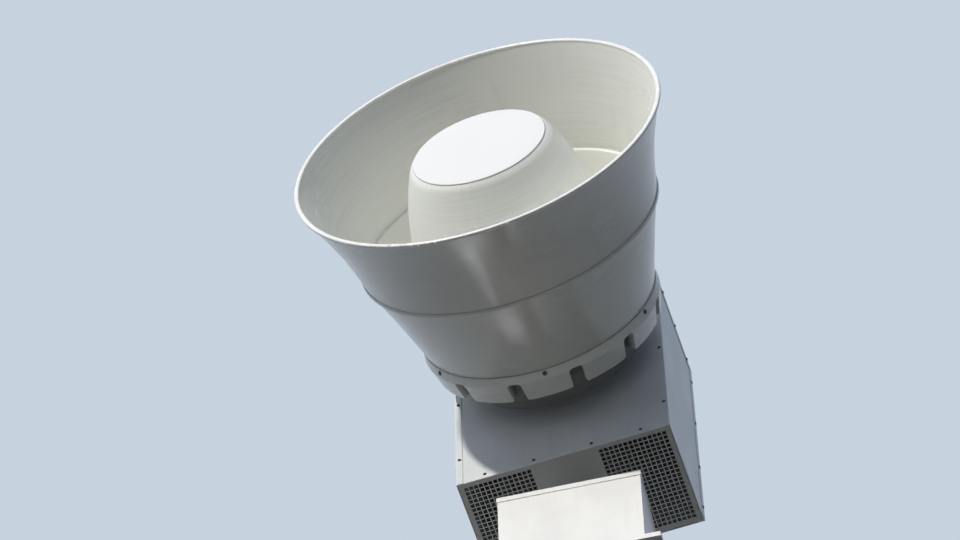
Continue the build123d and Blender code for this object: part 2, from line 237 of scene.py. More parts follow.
def softened(corners, radius, steps):
    """A closed line whose corners become curves, each drawn from its corner and two cuts."""
    corners = np.asarray(corners, float)
    before = np.roll(corners, 1, axis=0) - corners
    after = np.roll(corners, -1, axis=0) - corners
    lengths = np.linalg.norm([before, after], axis=-1)[..., None]
    cuts = np.minimum(radius, 0.45 * lengths)
    start = corners + before / lengths[0] * cuts[0]
    end = corners + after / lengths[1] * cuts[1]
    done = np.linspace(0, 1, steps)[None, :, None]
    curve = (1 - done) ** 2 * start[:, None] + 2 * done * (1 - done) * corners[:, None]
    return (curve + done ** 2 * end[:, None]).reshape(-1, 2)


def turned_points(profile, wave):
    """A profile of (radius, ahead) carried round the horn's axis. A hand-laid shell departs from
    round by a slow wave that dies out where the shell meets its neighbours."""
    profile = np.asarray(profile, float)
    angle = np.linspace(0, 2 * np.pi, ROUND_STEPS, endpoint=False)[None, :]
    radius, ahead = profile[:, 0, None], profile[:, 1, None]
    middle = np.clip((ahead - ahead.min()) / np.ptp(ahead), 0, 1)
    fade = np.sin(np.pi * middle) ** 2
    ripple = np.sin(5 * angle + 9 * ahead) * np.sin(23 * ahead + 2 * angle)
    ripple = ripple + 0.5 * np.sin(11 * angle - 31 * ahead)
    return horn_place(radius + wave * fade * ripple, ahead, angle)


def sagging(start, end, count):
    """Points between two places of a section, set in by a parabola with the rear bell's sag."""
    share = np.linspace(0, 1, count)[:, None]
    points = np.asarray(start) + share * (np.asarray(end) - np.asarray(start))
    points[:, 0] -= 4 * REAR_BELL_SAG * share[:, 0] * (1 - share[:, 0])
    return points


def drum_radius(ahead):
    """The radius of the base ring's conical drum, which is also the floor of its pockets."""
    return DRUM_REAR_RADIUS + DRUM_SLOPE * (ahead - RING_BACK)


def skirt_radius(ahead):
    """The radius of the base ring's skirt: a cone, a rounded shoulder, then a band tapering in."""
    shoulder = arc_through(*RING_SHOULDER, 16)
    radii = [SKIRT_EDGE[0], *shoulder[:, 0], RING_FRONT_RADIUS]
    places = [SKIRT_EDGE[1], *shoulder[:, 1], RING_FRONT]
    return np.interp(ahead, places, radii)


def rounding(distance, radius):
    """What a quarter circle leaves of its radius, at a distance along it."""
    return radius * (1 - np.sqrt(1 - np.clip(distance / radius, 0, 1) ** 2))


def pocket_flare(ahead):
    """How far a pocket widens at its open end."""
    return rounding(SKIRT_EDGE[1] + POCKET_FLARE - ahead, POCKET_FLARE)


def pocket_half(ahead):
    """Half the pocket's width, which is narrower at the top corners."""
    corner = rounding(ahead - POCKET_TOP + POCKET_CORNER, POCKET_CORNER)
    return POCKET_HALF - corner + pocket_flare(ahead)


def pocket_share(across, ahead):
    """How deep a pocket is, from 0 to 1: a smooth step of the distance inside its outline."""
    side = np.abs(across) - pocket_flare(ahead) - (POCKET_HALF - POCKET_CORNER)
    top = ahead - (POCKET_TOP - POCKET_CORNER)
    outside = np.hypot(np.maximum(side, 0), np.maximum(top, 0))
    inside = POCKET_CORNER - outside - np.minimum(np.maximum(side, top), 0)
    share = np.clip(inside / POCKET_DRAFT, 0, 1)
    return share ** 2 * (3 - 2 * share)


def base_ring_points():
    """The ring's outer wall, row by row from the front to the rear. The skirt's rows sink to the
    drum inside the pockets, and a column lies at the angle whose sine is its distance across
    over its radius, as the pockets' sides are straight. The skirt's rear edge turns in by a
    quarter circle, the rows behind it follow the drum, and the inner cone closes the ring."""
    edge = SKIRT_EDGE[1]
    turn = np.linspace(0, np.pi / 2, 8)
    skirt_ahead = np.concatenate([
        np.linspace(RING_FRONT, POCKET_TOP + 0.001, 10),
        np.linspace(POCKET_TOP, POCKET_TOP - POCKET_DRAFT, 7),
        np.linspace(POCKET_TOP - POCKET_DRAFT - 0.0008, POCKET_TOP - POCKET_CORNER, 12),
        np.linspace(POCKET_TOP - POCKET_CORNER - 0.004, edge + POCKET_FLARE + 0.003, 12),
        np.linspace(edge + POCKET_FLARE, edge + SKIRT_EDGE_ROUND + 0.001, 8),
        edge + SKIRT_EDGE_ROUND * (1 - np.sin(turn)),
    ])
    skirt = skirt_radius(skirt_ahead)
    skirt[-len(turn):] -= SKIRT_EDGE_ROUND * (1 - np.cos(turn))
    drum_steps = np.linspace(edge - 0.005, RING_BACK + 0.004, 6)
    drum_ahead = np.concatenate([[edge], drum_steps, [RING_BACK]])
    ahead = np.concatenate([skirt_ahead, drum_ahead])[:, None]
    outer = np.concatenate([skirt, drum_radius(drum_ahead)])[:, None]
    half = pocket_half(np.maximum(ahead, edge))
    widest = outer * np.sin(np.pi / POCKET_COUNT)
    floor = np.linspace(0, 1, 4)[None, :-1] * (half - POCKET_DRAFT)
    wall = half - POCKET_DRAFT * (1 - np.linspace(0, 1, 7)[None, :])
    land = half + (widest - half) * np.linspace(0, 1, 6)[None, 1:]
    right = np.concatenate([floor, wall, land], axis=1)
    across = np.concatenate([-right[:, -2:0:-1], right], axis=1)
    sink = (outer - drum_radius(ahead)) * pocket_share(across, ahead)
    radius = outer - np.where(ahead > RING_BACK, np.maximum(sink, 0), 0)
    turns = (np.arange(POCKET_COUNT) + 0.5) * 2 * np.pi / POCKET_COUNT
    angle = turns[None, :, None] + np.arcsin(across / radius)[:, None, :]
    angle = angle.reshape(len(ahead), -1)
    wall_points = horn_place(np.tile(radius, (1, POCKET_COUNT)), ahead, angle)
    ends = np.array([RING_BACK, RING_FRONT])[:, None]
    inner = horn_place(drum_radius(ends) - DRUM_THICKNESS, ends, angle[-1:])
    return np.concatenate([wall_points, inner])


def unit(lines):
    """Lines of a list, each made of length one."""
    return lines / np.linalg.norm(lines, axis=1, keepdims=True)


def head_points(places, outward, outline, hexagon_rows, columns=24):
    """Fastener heads: an outline of (radius, height) carried round each outward line. The rows
    of the hexagon are drawn in towards the middle of each flat."""
    places = np.asarray(places, float)
    outward = unit(np.asarray(outward, float))
    side = unit(np.cross(outward, np.array([0.31, 0.17, 0.93])))
    up = np.cross(outward, side)
    angle = np.linspace(0, 2 * np.pi, columns, endpoint=False)
    flat = np.cos(np.pi / 6) / np.cos(angle % (np.pi / 3) - np.pi / 6)
    outline = np.asarray(outline, float)
    shape = np.where(np.asarray(hexagon_rows)[:, None], flat[None, :], 1.0)
    radius = outline[:, 0, None] * shape
    points = places[:, None, None, :] + outline[None, :, 1, None, None] * outward[:, None, None, :]
    points = points + (radius * np.cos(angle))[None, ..., None] * side[:, None, None, :]
    return points + (radius * np.sin(angle))[None, ..., None] * up[:, None, None, :]


def head_quads(points):
    """Quads of fastener heads, each a grid whose columns join end to end."""
    count, rows, columns = points.shape[:3]
    first = rows * columns * np.arange(count)
    return (woven(rows, columns)[None] + first[:, None, None]).reshape(-1, 4)


def facing(groups):
    """Places and outward lines of fasteners, from groups of places with one line for each."""
    places = np.concatenate([np.array(group, float) for group, _ in groups])
    ways = [np.tile(np.array(way, float), (len(group), 1)) for group, way in groups]
    return places, np.concatenate(ways)


def punched_sheet(x_lines, y_lines, solid, bottom, top):
    """A sheet on a grid of cells: the solid cells have a face below and above, and a wall
    stands wherever a solid cell meets an empty one or the sheet's edge."""
    x, y = np.meshgrid(x_lines, y_lines, indexing="ij")
    levels = [np.stack([x, y, np.full_like(x, z)], axis=-1) for z in (bottom, top)]
    points = np.concatenate([level.reshape(-1, 3) for level in levels])
    rows, columns = x.shape
    number = np.arange(rows * columns).reshape(rows, columns)
    above = rows * columns
    cell = [number[:-1, :-1], number[1:, :-1], number[1:, 1:], number[:-1, 1:]]
    face = np.stack([corner[solid] for corner in cell], axis=-1)
    padded = np.pad(solid, 1)
    along_y = padded[1:, 1:-1] != padded[:-1, 1:-1]
    along_x = padded[1:-1, 1:] != padded[1:-1, :-1]
    walls = []
    for changes, start, end in (
        (along_y, number[:, :-1], number[:, 1:]),
        (along_x, number[:-1, :], number[1:, :]),
    ):
        a, b = start[changes], end[changes]
        walls.append(np.stack([a, b, b + above, a + above], axis=-1))
    return points, np.concatenate([face, face + above, *walls])


def blocks(lows, highs):
    """Boxes between pairs of opposite corners: each corner takes its x, y and z from either."""
    lows, highs = np.asarray(lows, float), np.asarray(highs, float)
    pick = np.array([[i & 1, i >> 1 & 1, i >> 2 & 1] for i in range(8)])
    points = np.where(pick[None], highs[:, None], lows[:, None]).reshape(-1, 3)
    faces = np.array([
        [0, 1, 3, 2], [4, 6, 7, 5], [0, 4, 5, 1], [2, 3, 7, 6], [0, 2, 6, 4], [1, 5, 7, 3],
    ])
    return points, (faces[None] + 8 * np.arange(len(lows))[:, None, None]).reshape(-1, 4)


def make_piece(name, points, quads, body, material, replaces=()):
    """A closed mesh from whole arrays. Points that meet are merged first, so that poles close,
    and then all faces are turned outwards."""
    points = np.ascontiguousarray(points, dtype=np.float64).reshape(-1, 3)
    mesh = bpy.data.meshes.new(name)
    mesh.vertices.add(len(points))
    mesh.vertices.foreach_set("co", points.ravel())
    mesh.loops.add(quads.size)
    mesh.loops.foreach_set("vertex_index", quads.ravel().astype(np.int32))
    mesh.polygons.add(len(quads))
    mesh.polygons.foreach_set("loop_start", np.arange(0, quads.size, 4, dtype=np.int32))
    mesh.update(calc_edges=True)
    joined = bmesh.new()
    joined.from_mesh(mesh)
    bmesh.ops.remove_doubles(joined, verts=joined.verts, dist=MERGE_DISTANCE)
    bmesh.ops.recalc_face_normals(joined, faces=joined.faces)
    joined.to_mesh(mesh)
    joined.free()
    mesh.shade_smooth()
    mesh.set_sharp_from_angle(angle=SHARP_ANGLE)
    mesh.materials.append(material)
    piece = bpy.data.objects.new(name, mesh)
    bpy.context.scene.collection.objects.link(piece)
    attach(piece, body)
    if replaces:
        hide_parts(*replaces)
    return piece


def turned_piece(name, profile, material, replaces, wave=0.0, closed=True):
    """A piece of the horn, turned about its level axis."""
    points = turned_points(profile, wave)
    quads = woven(len(profile), ROUND_STEPS, closed)
    return make_piece(name, points, quads, HEAD, material, replaces)


def mark_outside(piece):
    """Give a turned shell the attribute that darkens its outside, as weathering and painted shade:
    one where its skin faces away from the horn's axis, and nought where it faces the axis."""
    vertices = piece.data.vertices
    places = np.array([vertex.co for vertex in vertices]) - (0.0, 0.0, HORN_Z)
    normals = np.array([vertex.normal for vertex in vertices])
    away = (places * normals)[:, [0, 2]].sum(axis=1) > 0
    marks = piece.data.attributes.new(WEATHERING_AND_SHADE, "FLOAT", "POINT")
    marks.data.foreach_set("value", away.astype(np.float32))


# Materials

def palette(context):
    """The colours that the user set, by name, each as three plain numbers."""
    group = context.scene.siren_colours
    return SimpleNamespace(**{name: tuple(getattr(group, name)) for name in group.__annotations__})


USUAL_SETTINGS = {"MapRange": {"interpolation_type": "SMOOTHSTEP"}, "Mix": {"data_type": "RGBA"}}


def add(tree, kind, *values, **settings):
    """Add a node with its settings, whose kind may be followed by its operation. Values link to
    or set the inputs that it shows, in turn, or by name if they are in a dictionary. A colour
    may be three numbers. The result is the first output that the node shows."""
    kind, *operation = kind.split()
    made = tree.nodes.new("ShaderNode" + kind)
    settings = {**USUAL_SETTINGS.get(kind, {}), **settings}
    if operation:
        settings["operation"] = operation[0]
    for name, value in settings.items():
        setattr(made, name, value)
    if values and isinstance(values[0], dict):
        pairs = [(made.inputs[name], value) for name, value in values[0].items()]
    else:
        pairs = zip([socket for socket in made.inputs if socket.enabled], values)
    for socket, value in pairs:
        if isinstance(value, bpy.types.NodeSocket):
            tree.links.new(value, socket)
        else:
            socket.default_value = (*value, 1.0) if socket.type == "RGBA" else value
    return next((socket for socket in made.outputs if socket.enabled), None)


def new_finish(name):
    """An empty material, its node tree, and the place on the piece that its patterns read."""
    material = bpy.data.materials.new(name)
    material.use_nodes = True
    tree = material.node_tree
    tree.nodes.clear()
    place = add(tree, "TexCoord").node.outputs["Object"]
    return material, tree, place


def noise(tree, place, cell, detail=3.0, roughness=0.55):
    """Noise from 0 to 1 whose features have about the given size in metres, which is one number
    or three, along x, y and z."""
    scale = tuple(1 / c for c in np.broadcast_to(cell, 3))
    sized = add(tree, "Mapping", {"Vector": place, "Scale": scale})
    return add(tree, "TexNoise", sized, 1.0, detail, roughness)


def shaded(colour, factor):
    """A colour made darker or lighter by a factor."""
    return tuple(min(1.0, c * factor) for c in colour)


def finished(material, colour, roughness, height, depth, **fixed):
    """The material with its surface shader: colour and roughness from the pattern, and bump
    from its height, whose full range stands for a depth in metres."""
    tree = material.node_tree
    bump = add(tree, "Bump", {"Strength": 1.0, "Distance": depth, "Height": height})
    inputs = {"Base Color": colour, "Roughness": roughness, "Normal": bump, **fixed}
    add(tree, "OutputMaterial", add(tree, "BsdfPrincipled", inputs))
    return material


def about_axis(tree, place):
    """Where a point lies about the horn's axis: the direction of its offset from the axis, at
    length one, its radius, and its parts x, y and z."""
    parts = add(tree, "SeparateXYZ", place).node.outputs
    rise = add(tree, "Math SUBTRACT", parts[2], HORN_Z)
    offset = add(tree, "CombineXYZ", parts[0], 0.0, rise)
    direction = add(tree, "VectorMath NORMALIZE", offset)
    return direction, add(tree, "VectorMath LENGTH", offset), parts


def brushed_gelcoat(context, name, colour, gloss, shade_hollows=False):
    """Polyester gelcoat on hand-laid fibreglass: a smooth, fairly glossy skin. Brush marks run
    round the horn in patches, a few millimetres apart and some tens of centimetres long, and
    rain leaves faint runs along it. The bells' outside is greyed by weathering and darkened as
    painted shade. On the base ring, painted shade darkens whatever lies deeper than the skirt."""
    grime = palette(context).grime
    pitch = context.scene.siren_sizes.streak_pitch
    material, tree, place = new_finish(name)
    direction, radius, parts = about_axis(tree, place)
    marks = noise(tree, place, (0.35, pitch, 0.35), detail=5.0, roughness=0.62)
    fine_marks = noise(tree, place, (0.16, pitch * 0.28, 0.16), detail=3.0)
    blotches = noise(tree, place, (0.12, 0.10, 0.12), detail=4.0)
    patches = noise(tree, place, (0.42, 0.26, 0.42), detail=1.0)
    brushed = add(tree, "MapRange", patches, 0.40, 0.62, 0.2, 1.0)

    # Rain runs along the horn: their place is the direction from its axis, 0.45 m out, and y.
    round_the_horn = add(tree, "VectorMath SCALE", direction, 0.45)
    lengthwise = add(tree, "CombineXYZ", 0.0, parts[1], 0.0)
    run_place = add(tree, "VectorMath ADD", round_the_horn, lengthwise)
    runs = noise(tree, run_place, (0.045, 0.50, 0.045), detail=1.0)

    dark_marks = add(tree, "Math MULTIPLY", add(tree, "MapRange", marks, 0.62, 0.38), brushed)
    toned = add(tree, "Mix", dark_marks, shaded(colour, 1.01), shaded(colour, 0.95))
    fine_share = add(tree, "MapRange", fine_marks, 0.52, 0.74, 0.0, 0.2)
    fine_share = add(tree, "Math MULTIPLY", fine_share, brushed)
    toned = add(tree, "Mix", fine_share, toned, shaded(colour, 0.84))
    run_share = add(tree, "MapRange", runs, 0.52, 0.80)
    dirt = add(tree, "Math MULTIPLY", run_share, add(tree, "MapRange", blotches, 0.40, 0.68))
    toned = add(tree, "Mix", add(tree, "Math MULTIPLY", dirt, 0.07), toned, grime)
    # Painted shade: on the base ring the colour darkens towards a darker grime colour with depth
    # inside the skirt's cone, in the pockets and on the drum behind them.
    if shade_hollows:
        shoulder = RING_SHOULDER[0]
        slope = (shoulder[0] - SKIRT_EDGE[0]) / (shoulder[1] - SKIRT_EDGE[1])
        ahead = add(tree, "Math SUBTRACT", FRONT - SKIRT_EDGE[1], parts[1])
        skirt = add(tree, "Math ADD", add(tree, "Math MULTIPLY", ahead, slope), SKIRT_EDGE[0])
        depth = add(tree, "Math SUBTRACT", skirt, radius)
        dust = add(tree, "MapRange", depth, 0.003, 0.034, 0.0, 0.72)
        toned = add(tree, "Mix", dust, toned, shaded(grime, 0.6))
    # Painted shade and weathering: where the bells' skin faces away from the axis, the colour is
    # mixed towards a darker copy, about a quarter darker.
    weathering_and_shade = add(tree, "Attribute", attribute_name=WEATHERING_AND_SHADE).node.outputs["Fac"]
    weathering_and_shade = add(tree, "Math MULTIPLY", weathering_and_shade, 0.42)
    toned = add(tree, "Mix", weathering_and_shade, toned, shaded(colour, 0.45))

    dull = add(tree, "MapRange", blotches, 0.35, 0.70, gloss, gloss + 0.10)
    roughness = add(tree, "Math ADD", dull, add(tree, "Math MULTIPLY", dark_marks, 0.05))
    height = add(tree, "Math MULTIPLY", marks, brushed)
    height = add(tree, "Math ADD", height, add(tree, "Math MULTIPLY", fine_marks, 0.2))
    return finished(material, toned, roughness, height, 0.0004, IOR=RESIN_IOR)


def chipped_gelcoat(name, colour, grime, chipped_place):
    """White gelcoat on the rolled edge, glossy and hard. Ladders and ropes have chipped it to
    the grey laminate in specks of 2 to 5 mm, thickest within 0.2 m of one place."""
    material, tree, place = new_finish(name)
    specks = noise(tree, place, 0.006, detail=2.0, roughness=0.7)
    apart = add(tree, "VectorMath DISTANCE", place, chipped_place)
    edge = add(tree, "MapRange", apart, 0.03, 0.22, 0.63, 0.735)
    chip = add(tree, "MapRange", add(tree, "Math SUBTRACT", specks, edge), 0.0, 0.02)
    blotches = noise(tree, place, 0.05, detail=3.0)
    share = add(tree, "MapRange", blotches, 0.35, 0.7)
    toned = add(tree, "Mix", share, shaded(colour, 0.95), colour)
    toned = add(tree, "Mix", chip, toned, shaded(grime, 0.8))
    roughness = add(tree, "MapRange", add(tree, "Math ADD", chip, blotches), 0.3, 1.3, 0.22, 0.6)
    height = add(tree, "Math SUBTRACT", add(tree, "Math MULTIPLY", blotches, 0.15), chip)
    return finished(material, toned, roughness, height, 0.0005, IOR=RESIN_IOR)


def powder_coat(name, colour, grime, gloss=0.42, dirt_level=0.08):
    """Baked powder coat on sheet steel: satin, with the fine dimples of orange peel about 2 mm
    apart, faint upright runs of washed-down dust, and chalking in soft patches."""
    material, tree, place = new_finish(name)
    dimples = noise(tree, place, ORANGE_PEEL, detail=1.0)
    runs = noise(tree, place, (0.022, 0.022, 0.40), detail=4.0)
    patches = noise(tree, place, (0.16, 0.16, 0.20), detail=4.0)
    chalk = add(tree, "MapRange", patches, 0.34, 0.70)
    toned = add(tree, "Mix", chalk, shaded(colour, 0.96), shaded(colour, 1.02))
    run_share = add(tree, "MapRange", runs, 0.48, 0.76)
    dirt = add(tree, "Math MULTIPLY", run_share, add(tree, "MapRange", patches, 0.36, 0.62))
    toned = add(tree, "Mix", add(tree, "Math MULTIPLY", dirt, dirt_level), toned, grime)
    roughness = add(tree, "MapRange", patches, 0.30, 0.75, gloss, gloss + 0.16)
    return finished(material, toned, roughness, dimples, 0.00012, IOR=RESIN_IOR)


def gloss_enamel(name, colour):
    """Sprayed gloss enamel on a plate: mirror-like but for faint orange peel about 6 mm apart."""
    material, tree, place = new_finish(name)
    peel = noise(tree, place, 0.006, detail=1.0)
    patches = noise(tree, place, 0.20, detail=1.0)
    toned = add(tree, "Mix", patches, shaded(colour, 0.99), colour)
    roughness = add(tree, "MapRange", patches, 0.3, 0.7, 0.18, 0.26)
    return finished(material, toned, roughness, peel, 0.00005, IOR=RESIN_IOR)


def cast_paint(name, colour, grime):
    """Enamel brushed over a sand casting: satin and slightly lumpy, with dark dust in the lows."""
    material, tree, place = new_finish(name)
    grains = noise(tree, place, 0.003, detail=4.0)
    patches = noise(tree, place, 0.05, detail=4.0)
    share = add(tree, "MapRange", patches, 0.35, 0.7)
    toned = add(tree, "Mix", share, shaded(colour, 0.88), colour)
    toned = add(tree, "Mix", add(tree, "MapRange", grains, 0.55, 0.75, 0.0, 0.3), toned, grime)
    roughness = add(tree, "MapRange", grains, 0.3, 0.7, 0.42, 0.62)
    return finished(material, toned, roughness, grains, 0.0005, IOR=RESIN_IOR)


def zinc_plate(name):
    """Zinc-plated steel fasteners: a dull bluish metal, gone patchy and dark with weather."""
    material, tree, place = new_finish(name)
    patches = noise(tree, place, 0.004, detail=3.0)
    share = add(tree, "MapRange", patches, 0.35, 0.7)
    toned = add(tree, "Mix", share, linear("2E3032"), linear("606365"))
    roughness = add(tree, "MapRange", patches, 0.3, 0.7, 0.38, 0.62)
    return finished(material, toned, roughness, patches, 0.0002, Metallic=1.0)


def shade_bead_finish(name, colour):
    """Polyurethane finish of a soft matt bead with a slightly uneven surface; its grey paints the
    shade line at the face plate's edge.
    """
    material, tree, place = new_finish(name)
    lumps = noise(tree, place, 0.004, detail=2.0)
    toned = add(tree, "Mix", add(tree, "MapRange", lumps, 0.3, 0.7), shaded(colour, 0.85), colour)
    roughness = add(tree, "MapRange", lumps, 0.3, 0.7, 0.55, 0.75)
    return finished(material, toned, roughness, lumps, 0.0004, IOR=SHADE_BEAD_IOR)


def dress(node_names, material):
    """Gives solids that keep their shape a finish, through the slots that they already have."""
    for name in node_names:
        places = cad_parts[name].material_slots
        if not places:
            raise RuntimeError(f"{name} has no material slot")
        for place in places:
            place.material = material


# Operators

class SIREN_OT_front_bell(bpy.types.Operator):
    """Make the flared front half of the horn"""

    bl_idname = "siren.front_bell"
    bl_label = "Front bell"

    def execute(self, context):
        inner = [(r - BELL_WALL, a) for r, a in (BELL_JOINT, BELL_WAIST)]
        # The inside runs on into the bead, so that no groove is left behind the bead's round.
        overlap = 0.0003
        inner.append((RIM_RADIUS - RIM_WIDTH + overlap, MOUTH - RIM_DEPTH + RIM_ROUND))
        outside = arc_through(BELL_JOINT, BELL_WAIST, BELL_END, 56)
        inside = arc_through(*inner, 56)[::-1]
        tail = [(inner[0][0], LEDGE_AHEAD), (BELL_JOINT[0], LEDGE_AHEAD)]
        profile = np.concatenate([outside, inside, tail])
        gelcoat = brushed_gelcoat(context, HORN_GELCOAT, palette(context).horn, 0.16)
        wave = context.scene.siren_sizes.hand_wave
        mark_outside(turned_piece(
            "front_bell_shell", profile, gelcoat, ["front_bell"], wave
        ))
        return {"FINISHED"}


class SIREN_OT_rear_bell(bpy.types.Operator):
    """Make the rear half of the horn, with its ledge and the lip round the joint"""

    bl_idname = "siren.rear_bell"
    bl_label = "Rear bell"

    def execute(self, context):
        ledge = (BELL_JOINT[0] - BELL_WALL - LEDGE_WIDTH, LEDGE_AHEAD)
        outside = sagging(REAR_BELL_START, REAR_BELL_END, 12)
        inside = sagging(ledge, REAR_BELL_INSIDE, 12)
        profile = softened(np.concatenate([outside, REAR_BELL_LIP, inside]), EDGE_ROUND, 4)
        gelcoat = bpy.data.materials[HORN_GELCOAT]
        mark_outside(turned_piece(
            "rear_bell_shell", profile, gelcoat, ["rear_bell"]
        ))
        return {"FINISHED"}


class SIREN_OT_mouth_rim(bpy.types.Operator):
    """Make the rolled white bead round the mouth"""

    bl_idname = "siren.mouth_rim"
    bl_label = "Mouth rim"

    chipped_angle = -112
    outer_specks = (249.0, 251.3, 254.0, 256.6, 278.7)
    inner_specks = (85.5, 87.4, 89.8, 93.7, 95.8, 202.0)
    speck_size = (0.0032, 0.0028)

    def execute(self, context):
        inner, back = RIM_RADIUS - RIM_WIDTH, MOUTH - RIM_DEPTH
        corners = [(inner, back), (RIM_RADIUS, back), (RIM_RADIUS, MOUTH), (inner, MOUTH)]
        colours = palette(context)
        chipped = tuple(horn_place(RIM_RADIUS, MOUTH, np.radians(self.chipped_angle)))
        gelcoat = chipped_gelcoat("rim_gelcoat_chipped", colours.rim, colours.grime, chipped)
        profile = softened(corners, RIM_ROUND, 8)
        turned_piece("mouth_rim_bead", profile, gelcoat, ["mouth_rim"])
        self.make_specks(gelcoat)
        return {"FINISHED"}

    def make_specks(self, gelcoat):
        """Drops of gelcoat that set on the bead, outside at the lower left and inside above."""
        angle = np.radians(self.outer_specks + self.inner_specks)
        outside = np.arange(len(angle)) < len(self.outer_specks)
        radius = np.where(outside, RIM_RADIUS, RIM_RADIUS - RIM_WIDTH)
        places = horn_place(radius, MOUTH - RIM_DEPTH / 2, angle)
        way = np.where(outside, 1.0, -1.0)
        outward = np.stack([way * np.cos(angle), 0 * angle, way * np.sin(angle)], axis=-1)
        dome = np.array([(0, -0.3), (1, -0.3), (1, 0.1), (0.85, 0.55), (0.5, 0.88), (0, 1)])
        dome = dome * self.speck_size
        points = head_points(places, outward, dome, np.zeros(len(dome), bool), 16)
        make_piece("rim_specks", points, head_quads(points), HEAD, gelcoat)


class SIREN_OT_base_ring(bpy.types.Operator):
    """Make the moulded ring behind the horn, with its pockets"""

    bl_idname = "siren.base_ring"
    bl_label = "Base ring"

    def execute(self, context):
        points = base_ring_points()
        # Painted shade and weathering: the ring's gelcoat is a tenth darker than the bells'.
        colour = shaded(palette(context).horn, 0.9)
        gelcoat = brushed_gelcoat(context, "ring_gelcoat_shaded_hollows", colour, 0.2, shade_hollows=True)
        quads = woven(*points.shape[:2], True)
        make_piece("base_ring_moulding", points, quads, HEAD, gelcoat, ["base_ring"])
        return {"FINISHED"}


class SIREN_OT_centre_body(bpy.types.Operator):
    """Make the centre body, its face plate and the grey bead round the plate, whose grey paints
    the shade line at the plate's edge
    """

    bl_idname = "siren.centre_body"
    bl_label = "Centre body"

    bead_radius = 0.0010
    bead_offset = (0.0002, 0.0006)

    def execute(self, context):
        self.make_shell(context)
        self.make_face(palette(context))
        return {"FINISHED"}

    def make_shell(self, context):
        """The skirt, the round nose and the seat that the face plate rests on."""
        shoulder = (SKIRT_RADIUS, SHOULDER_AHEAD)
        outside = np.concatenate([
            arc_through(shoulder, NOSE_MIDDLE, NOSE_EDGE, 56),
            arc_through(NOSE_EDGE, NOSE_ROUND, NOSE_END, 12)[1:],
        ])
        back = (NOSE_END, NOSE_EDGE, NOSE_MIDDLE, shoulder)
        inside = [(r - BODY_WALL, a - BODY_WALL) for r, a in back]
        profile = np.concatenate([
            [(SKIRT_RADIUS, SKIRT_BACK)], outside,
            [(SEAT_BORE, NOSE_END[1]), (SEAT_BORE, NOSE_END[1] - BODY_WALL)],
            inside, [(SKIRT_RADIUS - BODY_WALL, SKIRT_BACK)],
        ])
        gelcoat = brushed_gelcoat(context, BODY_GELCOAT, palette(context).body, 0.30)
        wave = context.scene.siren_sizes.hand_wave
        turned_piece("centre_body_shell", profile, gelcoat, ["bullet_body"], wave)

    def make_face(self, colours):
        """The bare round plate, with a rounded edge, and the grey bead round its foot, which
        paints the shade line at the plate's edge.
        """
        paint = gloss_enamel("face_gloss_enamel", colours.face)
        quarter = np.linspace(0, np.pi / 2, 7)
        back = NOSE_END[1]
        edge = EDGE_ROUND * (np.stack([np.cos(quarter), np.sin(quarter)], axis=-1) - 1)
        edge = edge + (FACE_RADIUS, FACE_FRONT)
        disc = np.concatenate([
            [(0, back), (FACE_RADIUS, back)], edge,
            [(FACE_RADIUS * 0.5, FACE_FRONT), (0, FACE_FRONT)],
        ])
        turned_piece("face_plate", disc, paint, ["bullet_face"], closed=False)
        # Painted shade: a grey bead round the plate's foot draws the shade line at the plate's
        # edge.
        circle = np.linspace(0, 2 * np.pi, 12, endpoint=False)
        bead = self.bead_radius * np.stack([np.cos(circle), np.sin(circle)], axis=-1)
        bead = bead + (FACE_RADIUS, back) + np.array(self.bead_offset)
        seal = shade_bead_finish("edge_shade_grey_bead", colours.seal)
        turned_piece("face_edge_shade_bead", bead, seal, [])


class SIREN_OT_vent_panel(bpy.types.Operator):
    """Make the bottom panel with its two fields of punched square holes"""

    bl_idname = "siren.vent_panel"
    bl_label = "Vented bottom panel"

    columns = 14
    rows = 21
    side_margin = 0.024
    front_margin = 0.024

    def execute(self, context):
        sizes, colours = context.scene.siren_sizes, palette(context)
        low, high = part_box("bottom_panel")
        hole = np.array([-0.5, 0.5]) * sizes.vent_hole
        right = HALF_WIDTH - self.side_margin - sizes.vent_pitch * np.arange(self.columns)[::-1]
        right = (right[:, None] + hole).ravel()
        x_lines = np.concatenate([[low.x], -right[::-1], right, [high.x]])
        ahead = FRONT + self.front_margin + sizes.vent_pitch * np.arange(self.rows)
        y_lines = np.concatenate([[low.y], (ahead[:, None] + hole).ravel(), [high.y]])
        x_open = np.arange(len(x_lines) - 1) % 2 == 1
        y_open = np.arange(len(y_lines) - 1) % 2 == 1
        # The plain strip in the middle is the cell between the two fields of columns.
        solid = ~(x_open[:, None] & y_open[None, :])
        floor = low.z + SHEET
        points, quads = punched_sheet(x_lines, y_lines, solid, low.z, floor)
        # The turned-up edges, at the front, the back, the left and the right
        lows = [
            (low.x, low.y, floor), (low.x, high.y - SHEET, floor),
            (low.x, low.y + SHEET, floor), (high.x - SHEET, low.y + SHEET, floor),
        ]
        highs = [
            (high.x, low.y + SHEET, high.z), (high.x, high.y, high.z),
            (low.x + SHEET, high.y - SHEET, high.z), (high.x, high.y - SHEET, high.z),
        ]
        more_points, more_quads = blocks(lows, highs)
        quads = np.concatenate([quads, more_quads + len(points)])
        points = np.concatenate([points, more_points])
        # Painted shade: the vented bottom's coat is darker and warmer than the housing's.
        coat = powder_coat("underside_coat_and_shade", colours.underside, colours.grime, 0.5)
        make_piece("vented_bottom", points, quads, HEAD, coat, ["bottom_panel"])
        return {"FINISHED"}


